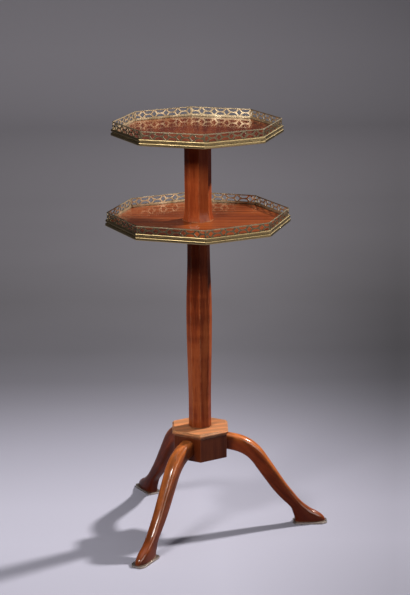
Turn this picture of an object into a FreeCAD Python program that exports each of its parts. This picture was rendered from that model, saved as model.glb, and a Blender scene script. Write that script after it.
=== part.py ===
import FreeCAD, Part
import math
import os
import re
import Sketcher

# Two-tier octagonal tea table: two trays with pierced brass galleries on an eight-sided stem,
# carried by a hexagonal block with three cabriole legs.
# The origin is on the floor, under the middle of the box that holds the table. The right leg points to +X.

# Counts of what repeats
TRAY_SIDES = 8
BASE_SIDES = 6
LEGS = {"leg_right": 0, "leg_back": 120, "leg_front": 240}
BEARER_SCREWS = 4
PAD_PINS = 2
UPPER_LOZENGES = 38
LOWER_LOZENGES = 40
# Flats that stand for the round of small fixings
PIN_SIDES = 6
SCREW_SIDES = 8

# Every driving size in millimetres, or in degrees where it says so
SIZES = {
    "upper_tray_radius": (175, "upper tray, middle to a corner of its edging"),
    "upper_tray_level": (841, "floor to the underside of the upper tray"),
    "lower_tray_radius": (190, "lower tray, middle to a corner of its edging"),
    "lower_tray_level": (655.5, "floor to the underside of the lower tray"),
    "board_thickness": (9, "mahogany boards of both trays"),
    "stem_turn": (3.5, "degrees that the stem and trays are turned on the base"),
    "edging_width": (5, "brass edging, from the board's edge to its outer face"),
    "edging_height": (14, "brass edging, full height"),
    "edging_band": (6.6, "height of the edging's wide lower band"),
    "edging_groove_height": (1.6, "groove between the edging's two mouldings"),
    "edging_groove_depth": (1.6, "depth of that groove"),
    "edging_bead_setback": (0.6, "upper moulding, behind the face of the lower band"),
    "edging_arris": (0.7, "small bevels of the edging"),
    "pin_radius": (0.9, "brass pins of the edging"),
    "pin_bite": (7, "length of a pin in the board"),
    "pin_level": (3.4, "pins above the underside of the tray"),
    "gallery_height": (20, "pierced gallery above the board"),
    "gallery_thickness": (1.4, "brass strip of the gallery"),
    "gallery_foot_rail": (4.8, "plain strip below the piercing"),
    "gallery_top_rail": (2.2, "rail above the piercing"),
    "gallery_post": (1.6, "upright at each end of a gallery side"),
    "fret_bar": (2.2, "level bar between two lozenges"),
    "fret_land": (0.6, "metal left between a lozenge opening and the rails"),
    "bearer_radius": (56, "octagonal bearer under a tray, middle to corner"),
    "bearer_thickness": (14, "bearer under a tray"),
    "bearer_chamfer": (5, "bevel round the underside of a bearer"),
    "screw_circle": (38, "bearer screws, distance from the stem's axis"),
    "screw_radius": (2, "shank of a bearer screw"),
    "screw_length": (20, "bearer screw, over all"),
    "screw_head_radius": (4, "head of a bearer screw, let in flush"),
    "screw_head_height": (2.4, "head of a bearer screw"),
    "upper_stem_radius": (27.6, "upper stem, middle to corner"),
    "upper_stem_foot_radius": (32.5, "flared foot of the upper stem"),
    "upper_stem_flare": (31, "height of the flared foot"),
    "foot_housing": (1.5, "depth by which the upper stem's foot is let into the lower board"),
    "upper_tenon_radius": (12, "round tenon of the upper stem in its bearer"),
    "lower_stem_radius": (26.7, "lower stem at its fullest, middle to corner"),
    "spigot_radius": (11, "spigot of the lower stem through the lower tray"),
    "spigot_rise": (40, "length of the spigot inside the upper stem"),
    "socket_spare": (2, "space left above the spigot"),
    "lower_tenon_radius": (15, "round tenon of the lower stem in the base"),
    "wedge_thickness": (2.4, "wedge in the end of the lower tenon"),
    "wedge_height": (30, "length of that wedge"),
    "cap_radius": (67.5, "hexagonal cap plate, middle to corner"),
    "cap_thickness": (10, "cap plate"),
    "cap_rounding": (3.6, "rounded edges of the cap plate"),
    "cap_level": (221, "floor to the top of the cap plate"),
    "block_radius": (63.5, "hexagonal block, middle to corner"),
    "block_height": (51, "hexagonal block"),
    "leg_reach": (266, "stem's axis to the tip of a toe"),
    "leg_root_drop": (24, "underside of the cap plate to the middle of a leg's root"),
    "leg_depth": (35, "leg at its root, top to underside"),
    "leg_width": (30, "leg at its root, side to side"),
    "leg_rounding": (8.5, "rounded arrises of a leg at its root"),
    "foot_length": (66, "sole of a foot, heel to toe"),
    "foot_height": (37, "sole to the ankle"),
    "tail_depth": (13, "dovetail of a leg, depth in the block"),
    "tail_neck": (13, "dovetail, width at the block's face"),
    "tail_width": (19, "dovetail, width at its inner end"),
    "tail_stop": (6, "top of a dovetail below the top of the leg's root"),
    "pad_thickness": (4, "brass sole plate of a foot"),
    "pad_margin": (3, "sole plate, beyond the foot all round"),
    "pad_pin_radius": (1.2, "pins that hold a sole plate"),
    "pad_pin_length": (12, "pins that hold a sole plate, over all"),
    "glue_gap": (0.1, "clearance in the glued joints"),
    "overrun": (2, "length by which a cutter passes a face"),
}

# Shape of the pierced pattern, as shares of one repeat
LOZENGE_WIDTH_SHARE = 0.40
CRESCENT_WIDTH_SHARE = 0.66
# Half-moon opening: shares of half its width, of its rise from the rail
CRESCENT_SHARES = [(-1, 0), (-0.53, 0.86), (0.53, 0.86), (1, 0)]
# Place of the first lozenge from a side's end, in repeats
UPPER_LEAD_SHARE = 0.09
LOWER_LEAD_SHARE = 0.60

# Lower stem, bottom to top: share of its height, share of its full radius
STEM_SWELL_SHARES = [
    (0, 0.89), (0.16, 0.885), (0.30, 0.93), (0.44, 0.98), (0.58, 1), (0.69, 0.97), (0.80, 0.905), (0.90, 0.875), (1, 0.87),
]
# Flare of the upper stem, top to bottom: share of its height, share of the extra radius
STEM_FLARE_SHARES = [(0.0, 0.0), (0.30, 0.06), (0.60, 0.30), (0.84, 0.74), (1.0, 1.0)]

# Shank of a leg from the block outwards: degrees of tilt, share of the way out to the toe,
# share of the height of the root, share of the depth, share of the width
SHANK_SHARES = [
    (14, 0.128, 0.965, 1.0, 1.0),
    (28, 0.225, 0.907, 0.985, 0.985),
    (42, 0.303, 0.822, 0.957, 0.95),
    (52, 0.446, 0.579, 0.914, 0.88),
    (52, 0.528, 0.440, 0.871, 0.835),
    (54, 0.610, 0.322, 0.800, 0.79),
]
# Eased corner of a leg's section: shares of the rounding, in from the side and down from the top
EASING_SHARES = [(0, 1), (0.293, 0.293), (1, 0)]
# Foot from the ankle down: degrees of tilt, share of the foot's height,
# shares of its length where the heel side and the toe side lie, share of the leg's width
FOOT_SHARES = [
    (68, 1.0, -0.150, 0.250, 0.775),
    (79, 0.62, -0.065, 0.530, 0.80),
    (85, 0.31, -0.012, 0.870, 0.85),
    (88, 0.12, 0.0, 0.975, 0.875),
    (90, 0.0, 0.0, 1.0, 0.883),
]
# Sole plate in plan: shares of its length from the heel, of its width from the middle
PAD_SHARES = [(0, 0.34), (0.07, 0.5), (0.87, 0.5), (1, 0.31)]

HALF_CORNER = 180 / TRAY_SIDES
HALF_FACE = 180 / BASE_SIDES

doc = FreeCAD.newDocument("tea_table")
sheet = doc.addObject("Spreadsheet::Sheet", "sizes")
for row, (alias, (size, meaning)) in enumerate(SIZES.items(), start=1):
    sheet.set(f"A{row}", meaning)
    sheet.set(f"B{row}", str(size))
    sheet.setAlias(f"B{row}", alias)
doc.recompute()

nodes = []


def in_cells(formula):
    """The formula with each size's name pointed at its cell."""
    return re.sub(r"[a-z]\w*", lambda word: "sizes." + word[0] if word[0] in SIZES else word[0], formula)


def bind(thing, prop, formula):
    thing.setExpression(prop, in_cells(formula))


# Places that several pieces share, as formulas in the sizes
COLUMN_X = "((lower_tray_radius * cos(stem_turn) - leg_reach - pad_margin) / 2)"
BLOCK_LEVEL = "(cap_level - cap_thickness - block_height)"
BLOCK_FACE = f"(block_radius * cos({HALF_FACE}))"
STEM_FOOT = "(lower_tray_level + board_thickness - foot_housing)"
ROOT_LEVEL = "(cap_level - cap_thickness - leg_root_drop)"
TAIL_TOP = f"({ROOT_LEVEL} + leg_depth / 2 - tail_stop)"


def board_apothem(tray):
    return f"({tray}_tray_radius * cos({HALF_CORNER}) - edging_width)"


def add(kind, name, z="0", **formulas):
    """A Part object whose properties and height follow the sizes."""
    thing = doc.addObject(kind, name)
    for prop, formula in formulas.items():
        bind(thing, prop, formula)
    bind(thing, ".Placement.Base.z", z)
    return thing


def centre(thing, turn="0"):
    """Put a piece on the stem's axis, turned about it."""
    bind(thing, ".Placement.Base.x", COLUMN_X)
    bind(thing, ".Placement.Rotation.Angle", turn)
    return thing


def prism(name, sides, radius, height, z, turn):
    thing = centre(add("Part::Prism", name, z=z, Circumradius=radius, Height=height), turn)
    thing.Polygon = sides
    return thing


def dowel(name, radius, height, z):
    """A round piece, or the bore for it, on the stem's axis."""
    return centre(add("Part::Cylinder", name, z=z, Radius=radius, Height=height))


def fixing(name, flats, radius, height, distance, z):
    """A small upright screw or pin, at a distance from the axis along X."""
    thing = add("Part::Prism", name, z=z, Circumradius=radius, Height=height)
    thing.Polygon = flats
    bind(thing, ".Placement.Base.x", distance)
    return thing


def fuse(name, pieces):
    thing = doc.addObject("Part::MultiFuse", name)
    thing.Shapes = pieces
    return thing


def cut(name, base, tools):
    thing = doc.addObject("Part::Cut", name)
    thing.Base = base
    if len(tools) == 1:
        thing.Tool = tools[0]
    else:
        thing.Tool = group(name + "_cutters", tools)
    return thing


def group(name, pieces):
    thing = doc.addObject("Part::Compound", name)
    thing.Links = pieces
    return thing


def copy_round(name, drawn, turn):
    """A copy of a piece that is drawn about the origin's Z axis, turned about the stem's axis."""
    return centre(group(name, [drawn]), turn)


def keep(thing, label):
    thing.Label = label
    nodes.append(thing)
    return thing


def new_body(name, z="0"):
    body = doc.addObject("PartDesign::Body", name)
    bind(body, ".Placement.Base.z", z)
    return body


def sketch_on(body, role, name):
    sketch = body.newObject("Sketcher::SketchObject", name)
    plane = next(item for item in body.Origin.OriginFeatures if item.Role == role)
    sketch.AttachmentSupport = [(plane, "")]
    sketch.MapMode = "FlatFace"
    return sketch


def locate(sketch, edge, end, x, y, start):
    """Bind a point's two coordinates to formulas; start is where it is drawn first."""
    for kind, formula, value in (("DistanceX", x, start[0]), ("DistanceY", y, start[1])):
        index = sketch.addConstraint(Sketcher.Constraint(kind, -1, 1, edge, end, value))
        bind(sketch, f"Constraints[{index}]", formula)


def add_outline(sketch, corners, turn=0):
    """A closed outline of straight edges through corners given as pairs of formulas."""
    count = len(corners)
    angles = [math.radians(turn) + 2 * math.pi * corner / count for corner in range(count)]
    drawn = [(3 * math.cos(angle), 3 * math.sin(angle)) for angle in angles]
    first = sketch.GeometryCount
    for corner in range(count):
        a, b = drawn[corner], drawn[(corner + 1) % count]
        sketch.addGeometry(Part.LineSegment(FreeCAD.Vector(a[0], a[1], 0), FreeCAD.Vector(b[0], b[1], 0)))
    for corner, (x, y) in enumerate(corners):
        following = first + (corner + 1) % count
        sketch.addConstraint(Sketcher.Constraint("Coincident", first + corner, 2, following, 1))
        locate(sketch, first + corner, 1, x, y, drawn[corner])


def feature(body, kind, name, profile, **formulas):
    thing = body.newObject(kind, name)
    thing.Profile = profile
    thing.Refine = False
    for prop, formula in formulas.items():
        bind(thing, prop, formula)
    return thing


def through_cut(body, name, profile):
    thing = feature(body, "PartDesign::Pocket", name, profile)
    thing.Type = "ThroughAll"
    thing.Midplane = True
    return thing


# Brass edging of a tray: one mitred length per side, drawn once on each of its two mitre planes
def edging_section(tray):
    """Corners of the moulding as (distance from the axis, height)."""
    back = board_apothem(tray)
    face = f"{back} + edging_width"
    bead = f"{face} - edging_bead_setback"
    groove_top = "edging_band + edging_groove_height"
    return [
        (back, "0"),
        (f"{face} - edging_arris", "0"),
        (face, "edging_arris"),
        (face, "edging_band - edging_arris / 2"),
        (f"{face} - edging_groove_depth", "edging_band"),
        (f"{face} - edging_groove_depth", groove_top),
        (bead, f"{groove_top} + edging_arris"),
        (bead, "edging_height - edging_arris * 2"),
        (f"{bead} - edging_arris", "edging_height - edging_arris / 2"),
        (f"{bead} - edging_arris * 2", "edging_height"),
        (f"{back} + gallery_thickness", "edging_height"),
        (f"{back} + gallery_thickness", "board_thickness"),
        (back, "board_thickness"),
    ]


def side_turns():
    """Turns that bring a piece drawn across +Y square to each side of a tray."""
    return [f"stem_turn + {(side + 0.5) * 360 / TRAY_SIDES - 90}" for side in range(TRAY_SIDES)]


def add_edging(tray, pin):
    body = new_body(f"{tray}_edging_blank", f"{tray}_tray_level")
    ends = []
    for end, angle in (("left", HALF_CORNER), ("right", -HALF_CORNER)):
        sketch = sketch_on(body, "YZ_Plane", f"{tray}_edging_{end}_mitre")
        sketch.AttachmentOffset = FreeCAD.Placement(FreeCAD.Vector(), FreeCAD.Rotation(FreeCAD.Vector(0, 1, 0), angle))
        section = [(f"({out}) / cos({HALF_CORNER})", up) for out, up in edging_section(tray)]
        add_outline(sketch, section, turn=-135)
        ends.append(sketch)
    moulding = feature(body, "PartDesign::AdditiveLoft", f"{tray}_edging_moulding", ends[0])
    moulding.Sections = ends[1:]
    moulding.Ruled = True
    length = cut(f"{tray}_edging_length", body, [pin])
    for side, turn in enumerate(side_turns(), start=1):
        name = f"{tray}_edging_{side}"
        keep(copy_round(name, length, turn), name)


# Pierced gallery of a tray: one mitred strip per side, with lozenges joined by level bars
def draw_lozenge(sketch, middle, width, height, level):
    add_outline(sketch, [
        (f"{middle} + {width} / 2", level),
        (middle, f"{level} + {height} / 2"),
        (f"{middle} - {width} / 2", level),
        (middle, f"{level} - {height} / 2"),
    ])


def draw_crescent(sketch, middle, width, rail, rise):
    """A half-moon opening: straight along a rail, round towards the level bar."""
    points = [(f"{middle} + {width} / 2 * {x}", f"{rail} + {rise} * {y}") for x, y in CRESCENT_SHARES]
    add_outline(sketch, points)


def draw_gallery_side(tray, name, repeats, first_share):
    """One strip, drawn across +Y, with its first lozenge at a share of a repeat from its left end."""
    body = new_body(name, f"{tray}_tray_level + board_thickness")
    inner = board_apothem(tray)
    outer = f"({inner} + gallery_thickness)"
    half_inner = f"{inner} * tan({HALF_CORNER})"
    half_outer = f"{outer} * tan({HALF_CORNER})"
    plan = sketch_on(body, "XY_Plane", f"{name}_plan")
    add_outline(plan, [
        (f"-{half_inner}", inner), (half_inner, inner), (half_outer, outer), (f"-{half_outer}", outer),
    ], turn=-135)
    feature(body, "PartDesign::Pad", f"{name}_strip", plan, Length="gallery_height")

    repeat = f"({half_inner} * 2 / {repeats})"
    middle = f"(-{half_inner} + {repeat} * {first_share})"
    bar_level = "(gallery_foot_rail + gallery_height - gallery_top_rail) / 2"
    fret_height = "(gallery_height - gallery_top_rail - gallery_foot_rail)"
    fret = sketch_on(body, "XZ_Plane", f"{name}_fret")
    draw_lozenge(fret, middle, f"{repeat} * {LOZENGE_WIDTH_SHARE}", f"({fret_height} - fret_land * 2)", bar_level)
    crescent_rise = f"({fret_height} - fret_bar) / 2"
    between = f"{middle} + {repeat} / 2"
    width = f"{repeat} * {CRESCENT_WIDTH_SHARE}"
    draw_crescent(fret, between, width, "gallery_height - gallery_top_rail", f"-{crescent_rise}")
    draw_crescent(fret, between, width, "gallery_foot_rail", crescent_rise)
    pierced = through_cut(body, f"{name}_pierced", fret)
    copies = math.ceil(repeats + LOZENGE_WIDTH_SHARE / 2 - first_share)
    pattern = body.newObject("PartDesign::LinearPattern", f"{name}_repeats")
    pattern.Originals = [pierced]
    pattern.Direction = (fret, ["H_Axis"])
    pattern.Occurrences = copies
    pattern.Refine = False
    bind(pattern, "Length", f"{repeat} * {copies - 1}")
    body.Tip = pattern

    posts = sketch_on(body, "XY_Plane", f"{name}_posts")
    for sign, turn in (("-", -135), ("", -45)):
        corners = [(half_inner, inner), (f"({half_inner} - gallery_post)", inner),
                   (f"({half_inner} - gallery_post)", outer), (half_outer, outer)]
        add_outline(posts, [(f"{sign}{x}", y) for x, y in corners], turn=turn)
    feature(body, "PartDesign::Pad", f"{name}_uprights", posts, Length="gallery_height").Refine = True
    return body


def add_gallery(tray, lozenges, lead_share):
    """The pattern runs on from side to side, so sides on which it starts alike are copies of one strip."""
    repeats = lozenges / TRAY_SIDES
    strips = {}
    for side, turn in enumerate(side_turns()):
        first_share = round((lead_share + side * repeats) % 1, 6)
        # A strip begins with the half-moons of a lozenge that would stand before its end
        if first_share > LOZENGE_WIDTH_SHARE + CRESCENT_WIDTH_SHARE / 2 - 1 / 2:
            first_share -= 1
        if first_share not in strips:
            strips[first_share] = draw_gallery_side(tray, f"{tray}_strip_{len(strips) + 1}", repeats, first_share)
        name = f"{tray}_gallery_side_{side + 1}"
        keep(copy_round(name, strips[first_share], turn), name)


# Boards, bearers, pins and screws of a tray
def add_pins(tray):
    """One pin, lying along Y through the edging into the board, and its copies on every side."""
    pin = add("Part::Prism", f"{tray}_pin", Circumradius="pin_radius", Height="edging_width + pin_bite")
    pin.Polygon = PIN_SIDES
    pin.Placement = FreeCAD.Placement(FreeCAD.Vector(), FreeCAD.Rotation(FreeCAD.Vector(1, 0, 0), 90))
    bind(pin, ".Placement.Base.y", f"{board_apothem(tray)} + edging_width")
    bind(pin, ".Placement.Base.z", f"{tray}_tray_level + pin_level")
    pins = [copy_round(f"{tray}_pin_{side}", pin, turn) for side, turn in enumerate(side_turns(), start=1)]
    return pin, keep(group(f"{tray}_edging_pins", pins), f"{tray}_edging_pins")


def add_screws(tray):
    foot = f"({tray}_tray_level - bearer_thickness)"
    head = fixing(f"{tray}_screw_head", SCREW_SIDES, "screw_head_radius", "screw_head_height", "screw_circle", foot)
    shank = fixing(f"{tray}_screw_shank", SCREW_SIDES, "screw_radius", "screw_length", "screw_circle", foot)
    screw = fuse(f"{tray}_screw", [head, shank])
    turns = [f"stem_turn + {number * 360 / BEARER_SCREWS}" for number in range(BEARER_SCREWS)]
    screws = [copy_round(f"{tray}_screw_{number}", screw, turn) for number, turn in enumerate(turns, start=1)]
    return keep(group(f"{tray}_bearer_screws", screws), f"{tray}_bearer_screws")


def add_bearer(tray, bore_radius, screws):
    name = f"{tray}_bearer"
    level = f"{tray}_tray_level - bearer_thickness"
    body = centre(new_body(f"{name}_blank", level), "stem_turn")
    blank = body.newObject("PartDesign::AdditivePrism", f"{name}_prism")
    blank.Polygon = TRAY_SIDES
    bind(blank, "Circumradius", "bearer_radius")
    bind(blank, "Height", "bearer_thickness")
    doc.recompute()
    bevel = body.newObject("PartDesign::Chamfer", f"{name}_bevel")
    bevel.Base = (blank, [lowest_face(blank)])
    bind(bevel, "Size", "bearer_chamfer")
    bore = dowel(f"{name}_bore", f"{bore_radius} + glue_gap", "bearer_thickness + overrun * 2", f"{level} - overrun")
    keep(cut(name, body, [bore, screws]), name)


def lowest_face(thing):
    heights = [face.CenterOfMass.z for face in thing.Shape.Faces]
    return f"Face{heights.index(min(heights)) + 1}"


def highest_face(thing):
    heights = [face.CenterOfMass.z for face in thing.Shape.Faces]
    return f"Face{heights.index(max(heights)) + 1}"


def add_board(tray, cutters):
    name = f"{tray}_tray_board"
    radius = f"{tray}_tray_radius - edging_width / cos({HALF_CORNER})"
    blank = prism(f"{name}_blank", TRAY_SIDES, radius, "board_thickness", f"{tray}_tray_level", "stem_turn")
    keep(cut(name, blank, cutters), name)


def add_tray(tray, lozenges, lead_share, bore_radius):
    pin, pins = add_pins(tray)
    screws = add_screws(tray)
    cutters = [pins, screws]
    if tray == "lower":
        cutters.append(dowel("lower_board_bore", "spigot_radius + glue_gap", "board_thickness + overrun * 2",
                             "lower_tray_level - overrun"))
        cutters.append(prism("lower_board_housing", TRAY_SIDES, "upper_stem_foot_radius + glue_gap",
                             "foot_housing + overrun", STEM_FOOT, "stem_turn"))
    add_board(tray, cutters)
    add_bearer(tray, bore_radius, screws)
    add_edging(tray, pin)
    add_gallery(tray, lozenges, lead_share)


# Eight-sided stem in two lengths
def octagon(name, radius, z):
    thing = centre(add("Part::RegularPolygon", name, z=z, Circumradius=radius), "stem_turn")
    thing.Polygon = TRAY_SIDES
    return thing


def loft(name, sections, ruled=False):
    thing = doc.addObject("Part::Loft", name)
    thing.Sections = sections
    thing.Solid = True
    thing.Ruled = ruled
    return thing


def add_upper_stem():
    board_top = "(lower_tray_level + board_thickness)"
    shoulder = "(upper_tray_level - bearer_thickness)"
    flare_top = f"({board_top} + upper_stem_flare)"
    shaft = prism("upper_stem_shaft", TRAY_SIDES, "upper_stem_radius", f"{shoulder} - {flare_top}", flare_top, "stem_turn")
    rings = []
    for number, (down_share, out_share) in enumerate(STEM_FLARE_SHARES):
        radius = f"upper_stem_radius + (upper_stem_foot_radius - upper_stem_radius) * {out_share}"
        rings.append(octagon(f"upper_stem_ring_{number + 1}", radius, f"{flare_top} - upper_stem_flare * {down_share}"))
    flare = loft("upper_stem_flare_loft", rings, ruled=True)
    foot = prism("upper_stem_foot", TRAY_SIDES, "upper_stem_foot_radius", "foot_housing", STEM_FOOT, "stem_turn")
    tenon = dowel("upper_stem_tenon", "upper_tenon_radius", "bearer_thickness", shoulder)
    solid = fuse("upper_stem_solid", [shaft, flare, foot, tenon])
    socket = dowel("upper_stem_socket", "spigot_radius + glue_gap", "spigot_rise + socket_spare + overrun",
                   f"{STEM_FOOT} - overrun")
    keep(cut("upper_stem", solid, [socket]), "upper_stem")


def add_lower_stem():
    foot = "cap_level"
    shoulder = "(lower_tray_level - bearer_thickness)"
    rings = []
    for number, (up_share, radius_share) in enumerate(STEM_SWELL_SHARES):
        level = f"{foot} + ({shoulder} - {foot}) * {up_share}"
        rings.append(octagon(f"lower_stem_ring_{number + 1}", f"lower_stem_radius * {radius_share}", level))
    swell = loft("lower_stem_swell", rings)
    spigot = dowel("lower_stem_spigot", "spigot_radius", "bearer_thickness + board_thickness - foot_housing + spigot_rise",
                   shoulder)
    tenon = dowel("lower_stem_tenon", "lower_tenon_radius", "cap_thickness + block_height", BLOCK_LEVEL)
    solid = fuse("lower_stem_solid", [tenon, swell, spigot])
    kerf = slip("lower_stem_kerf", "overrun")
    keep(cut("lower_stem", solid, [kerf]), "lower_stem")


def slip(name, extra):
    """The slip of wood that spreads the tenon, or with a little extra all round, the cut for it."""
    thing = add("Part::Box", name, z=f"{BLOCK_LEVEL} - {extra}", Length="wedge_thickness",
                Width=f"lower_tenon_radius * 2 + {extra} * 2", Height=f"wedge_height + {extra}")
    bind(thing, ".Placement.Base.x", f"{COLUMN_X} - wedge_thickness / 2")
    bind(thing, ".Placement.Base.y", f"-lower_tenon_radius - {extra}")
    return thing


def add_stem_wedge():
    """The wedge fills the kerf in the tenon, inside the block's bore."""
    bore = dowel("stem_wedge_round", "lower_tenon_radius", "wedge_height", BLOCK_LEVEL)
    wedge = doc.addObject("Part::Common", "stem_wedge")
    wedge.Base = slip("stem_wedge_slip", "0")
    wedge.Tool = bore
    keep(wedge, "stem_wedge")


# Hexagonal base: cap plate with rounded edges on a block that takes the legs' dovetails
def base_bore(name, level, height):
    return dowel(name, "lower_tenon_radius + glue_gap", f"{height} + overrun * 2", f"{level} - overrun")


def add_cap_plate():
    level = "cap_level - cap_thickness"
    body = centre(new_body("cap_plate_blank", level), str(HALF_FACE))
    blank = body.newObject("PartDesign::AdditivePrism", "cap_plate_prism")
    blank.Polygon = BASE_SIDES
    bind(blank, "Circumradius", "cap_radius")
    bind(blank, "Height", "cap_thickness")
    doc.recompute()
    rounding = body.newObject("PartDesign::Fillet", "cap_plate_rounding")
    rounding.Base = (blank, [lowest_face(blank), highest_face(blank)])
    bind(rounding, "Radius", "min(cap_rounding; cap_thickness * 0.45)")
    keep(cut("cap_plate", body, [base_bore("cap_plate_bore", level, "cap_thickness")]), "cap_plate")


def dovetail_corners(gap):
    """Dovetail in plan, from the block's face inwards."""
    deep = f"{BLOCK_FACE} - tail_depth - {gap}"
    return [
        (deep, f"-tail_width / 2 - {gap}"), (BLOCK_FACE, f"-tail_neck / 2 - {gap}"),
        (BLOCK_FACE, f"tail_neck / 2 + {gap}"), (deep, f"tail_width / 2 + {gap}"),
    ]


def add_base_block():
    blank = prism("base_block_blank", BASE_SIDES, "block_radius", "block_height", BLOCK_LEVEL, str(HALF_FACE))
    body = new_body("tail_socket", f"{BLOCK_LEVEL} - overrun")
    plan = sketch_on(body, "XY_Plane", "tail_socket_plan")
    inner = dovetail_corners("glue_gap")
    face = [(f"{BLOCK_FACE} + overrun", y) for x, y in inner[1:3]]
    add_outline(plan, [inner[0], inner[1], face[0], face[1], inner[2], inner[3]], turn=-150)
    feature(body, "PartDesign::Pad", "tail_socket_pad", plan,
            Length=f"{TAIL_TOP} + glue_gap - {BLOCK_LEVEL} + overrun")
    cutters = [copy_round(f"{leg}_socket", body, str(turn)) for leg, turn in LEGS.items()]
    cutters.append(base_bore("base_block_bore", BLOCK_LEVEL, "block_height"))
    keep(cut("base_block", blank, cutters), "base_block")


# Cabriole leg: sections with rounded corners, square to the leg's own line, from its root to its sole
def draw_eased(sketch, width, depth, rounding):
    """A rectangle about the sketch's own origin, each corner eased by two flats on a quarter round."""
    half_width, half_depth = f"({width} / 2)", f"({depth} / 2)"
    points = []
    for side, up in ((1, 1), (-1, 1), (-1, -1), (1, -1)):
        corner = []
        for in_share, down_share in EASING_SHARES:
            x = f"{side} * ({half_width} - {rounding} * {in_share})"
            y = f"{up} * ({half_depth} - {rounding} * {down_share})"
            corner.append((x, y))
        points += corner if side * up > 0 else corner[::-1]
    add_outline(sketch, points)


def leg_sections():
    """Tilt, distance from the axis, height, depth, width and rounding of the sections that shape a leg."""
    sections = [(0, BLOCK_FACE, ROOT_LEVEL, "leg_depth", "leg_width", "leg_rounding")]
    for tilt, out_share, up_share, depth_share, width_share in SHANK_SHARES:
        sections.append((
            tilt,
            f"{BLOCK_FACE} + (leg_reach - {BLOCK_FACE}) * {out_share}",
            f"pad_thickness + ({ROOT_LEVEL} - pad_thickness) * {up_share}",
            f"leg_depth * {depth_share}",
            f"leg_width * {width_share}",
            f"leg_rounding * {width_share}",
        ))
    for tilt, up_share, heel_share, toe_share, width_share in FOOT_SHARES:
        sections.append((
            tilt,
            f"leg_reach - foot_length * {1 - (heel_share + toe_share) / 2}",
            f"pad_thickness + foot_height * {up_share}",
            f"foot_length * {toe_share - heel_share}",
            f"leg_width * {width_share}",
            f"leg_rounding * {width_share}",
        ))
    return sections


def with_middles(sections):
    """The sections with a fair one set between each two, on the curve through their neighbours."""
    fair = []
    last = len(sections) - 1
    for number in range(last):
        before, start = sections[max(number - 1, 0)], sections[number]
        end, after = sections[number + 1], sections[min(number + 2, last)]
        tilt = (9 * (start[0] + end[0]) - before[0] - after[0]) / 16
        rest = [f"(9 * ({b} + {c}) - ({a}) - ({d})) / 16"
                for a, b, c, d in zip(before[1:], start[1:], end[1:], after[1:])]
        fair += [start, (tilt, *rest)]
    return fair + [sections[last]]


def draw_leg():
    """A leg along +X with the dovetail at its root."""
    body = new_body("leg_blank")
    tail = sketch_on(body, "XY_Plane", "leg_tail_plan")
    bind(tail, ".AttachmentOffset.Base.z", BLOCK_LEVEL)
    add_outline(tail, dovetail_corners("0"), turn=-135)
    feature(body, "PartDesign::Pad", "leg_tail", tail, Length=f"{TAIL_TOP} - {BLOCK_LEVEL}")
    drawn = []
    for number, (tilt, out, up, depth, width, rounding) in enumerate(with_middles(leg_sections()), start=1):
        sketch = sketch_on(body, "YZ_Plane", f"leg_section_{number}")
        draw_eased(sketch, f"({width})", f"({depth})", f"({rounding})")
        level_axis = FreeCAD.Rotation(FreeCAD.Vector(1, 0, 0), float(tilt))
        sketch.AttachmentOffset = FreeCAD.Placement(FreeCAD.Vector(), level_axis)
        bind(sketch, ".AttachmentOffset.Base.y", up)
        bind(sketch, ".AttachmentOffset.Base.z", out)
        drawn.append(sketch)
    shape = feature(body, "PartDesign::AdditiveLoft", "leg_shape", drawn[0])
    shape.Sections = drawn[1:]
    shape.Ruled = True
    return body


def draw_foot_pad():
    """The plate under a foot along +X, square at the heel and blunt at the toe."""
    body = new_body("foot_pad_blank")
    bind(body, ".Placement.Base.x", "leg_reach - foot_length / 2")
    plan = sketch_on(body, "XY_Plane", "foot_pad_plan")
    length = "(foot_length + pad_margin * 2)"
    width = f"(leg_width * {FOOT_SHARES[-1][-1]} + pad_margin * 2)"
    near = [(f"{length} * {along - 0.5}", f"-{width} * {across}") for along, across in PAD_SHARES]
    far = [(f"{length} * {along - 0.5}", f"{width} * {across}") for along, across in reversed(PAD_SHARES)]
    add_outline(plan, near + far, turn=-135)
    feature(body, "PartDesign::Pad", "foot_pad_plate", plan, Length="pad_thickness")
    return body


def add_legs():
    """Pins, plates and legs: each is drawn once, along +X, and copied to the three legs."""
    pair = []
    for number in range(PAD_PINS):
        place = (number + 0.5) / PAD_PINS
        pair.append(fixing(f"pad_pin_{number + 1}", PIN_SIDES, "pad_pin_radius", "pad_pin_length",
                           f"leg_reach - foot_length * {place}", "0"))
    pins = group("pad_pin_pair", pair)
    pad = cut("foot_pad_drilled", draw_foot_pad(), [pins])
    leg = cut("leg_drilled", draw_leg(), [pins])
    pairs = []
    for name, turn in LEGS.items():
        keep(copy_round(name, leg, str(turn)), name)
        pad_name = name.replace("leg", "foot_pad")
        keep(copy_round(pad_name, pad, str(turn)), pad_name)
        pairs.append(copy_round(f"{name}_pad_pins", pins, str(turn)))
    keep(group("foot_pad_pins", pairs), "foot_pad_pins")


def export():
    doc.recompute()
    faults = [thing.Name for thing in doc.Objects if {"Invalid", "Error"} & set(thing.State)]
    for thing in nodes:
        if thing.Shape.isNull() or not thing.Shape.isValid() or not thing.Shape.Solids:
            faults.append(thing.Label)
    if faults:
        raise RuntimeError("these pieces failed: " + ", ".join(faults))
    os.makedirs("parts", exist_ok=True)
    for thing in nodes:
        thing.Shape.exportStep(f"parts/{thing.Label}.step")
        print(thing.Label, len(thing.Shape.Solids), round(thing.Shape.Volume))


add_tray("upper", UPPER_LOZENGES, UPPER_LEAD_SHARE, "upper_tenon_radius")
add_tray("lower", LOWER_LOZENGES, LOWER_LEAD_SHARE, "spigot_radius")
add_upper_stem()
add_lower_stem()
add_stem_wedge()
add_cap_plate()
add_base_block()
add_legs()
export()
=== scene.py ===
"""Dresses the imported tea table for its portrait: polished mahogany, pierced brass and the studio round it."""

from math import ceil, copysign, cos, pi, radians, sin, tan

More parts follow.
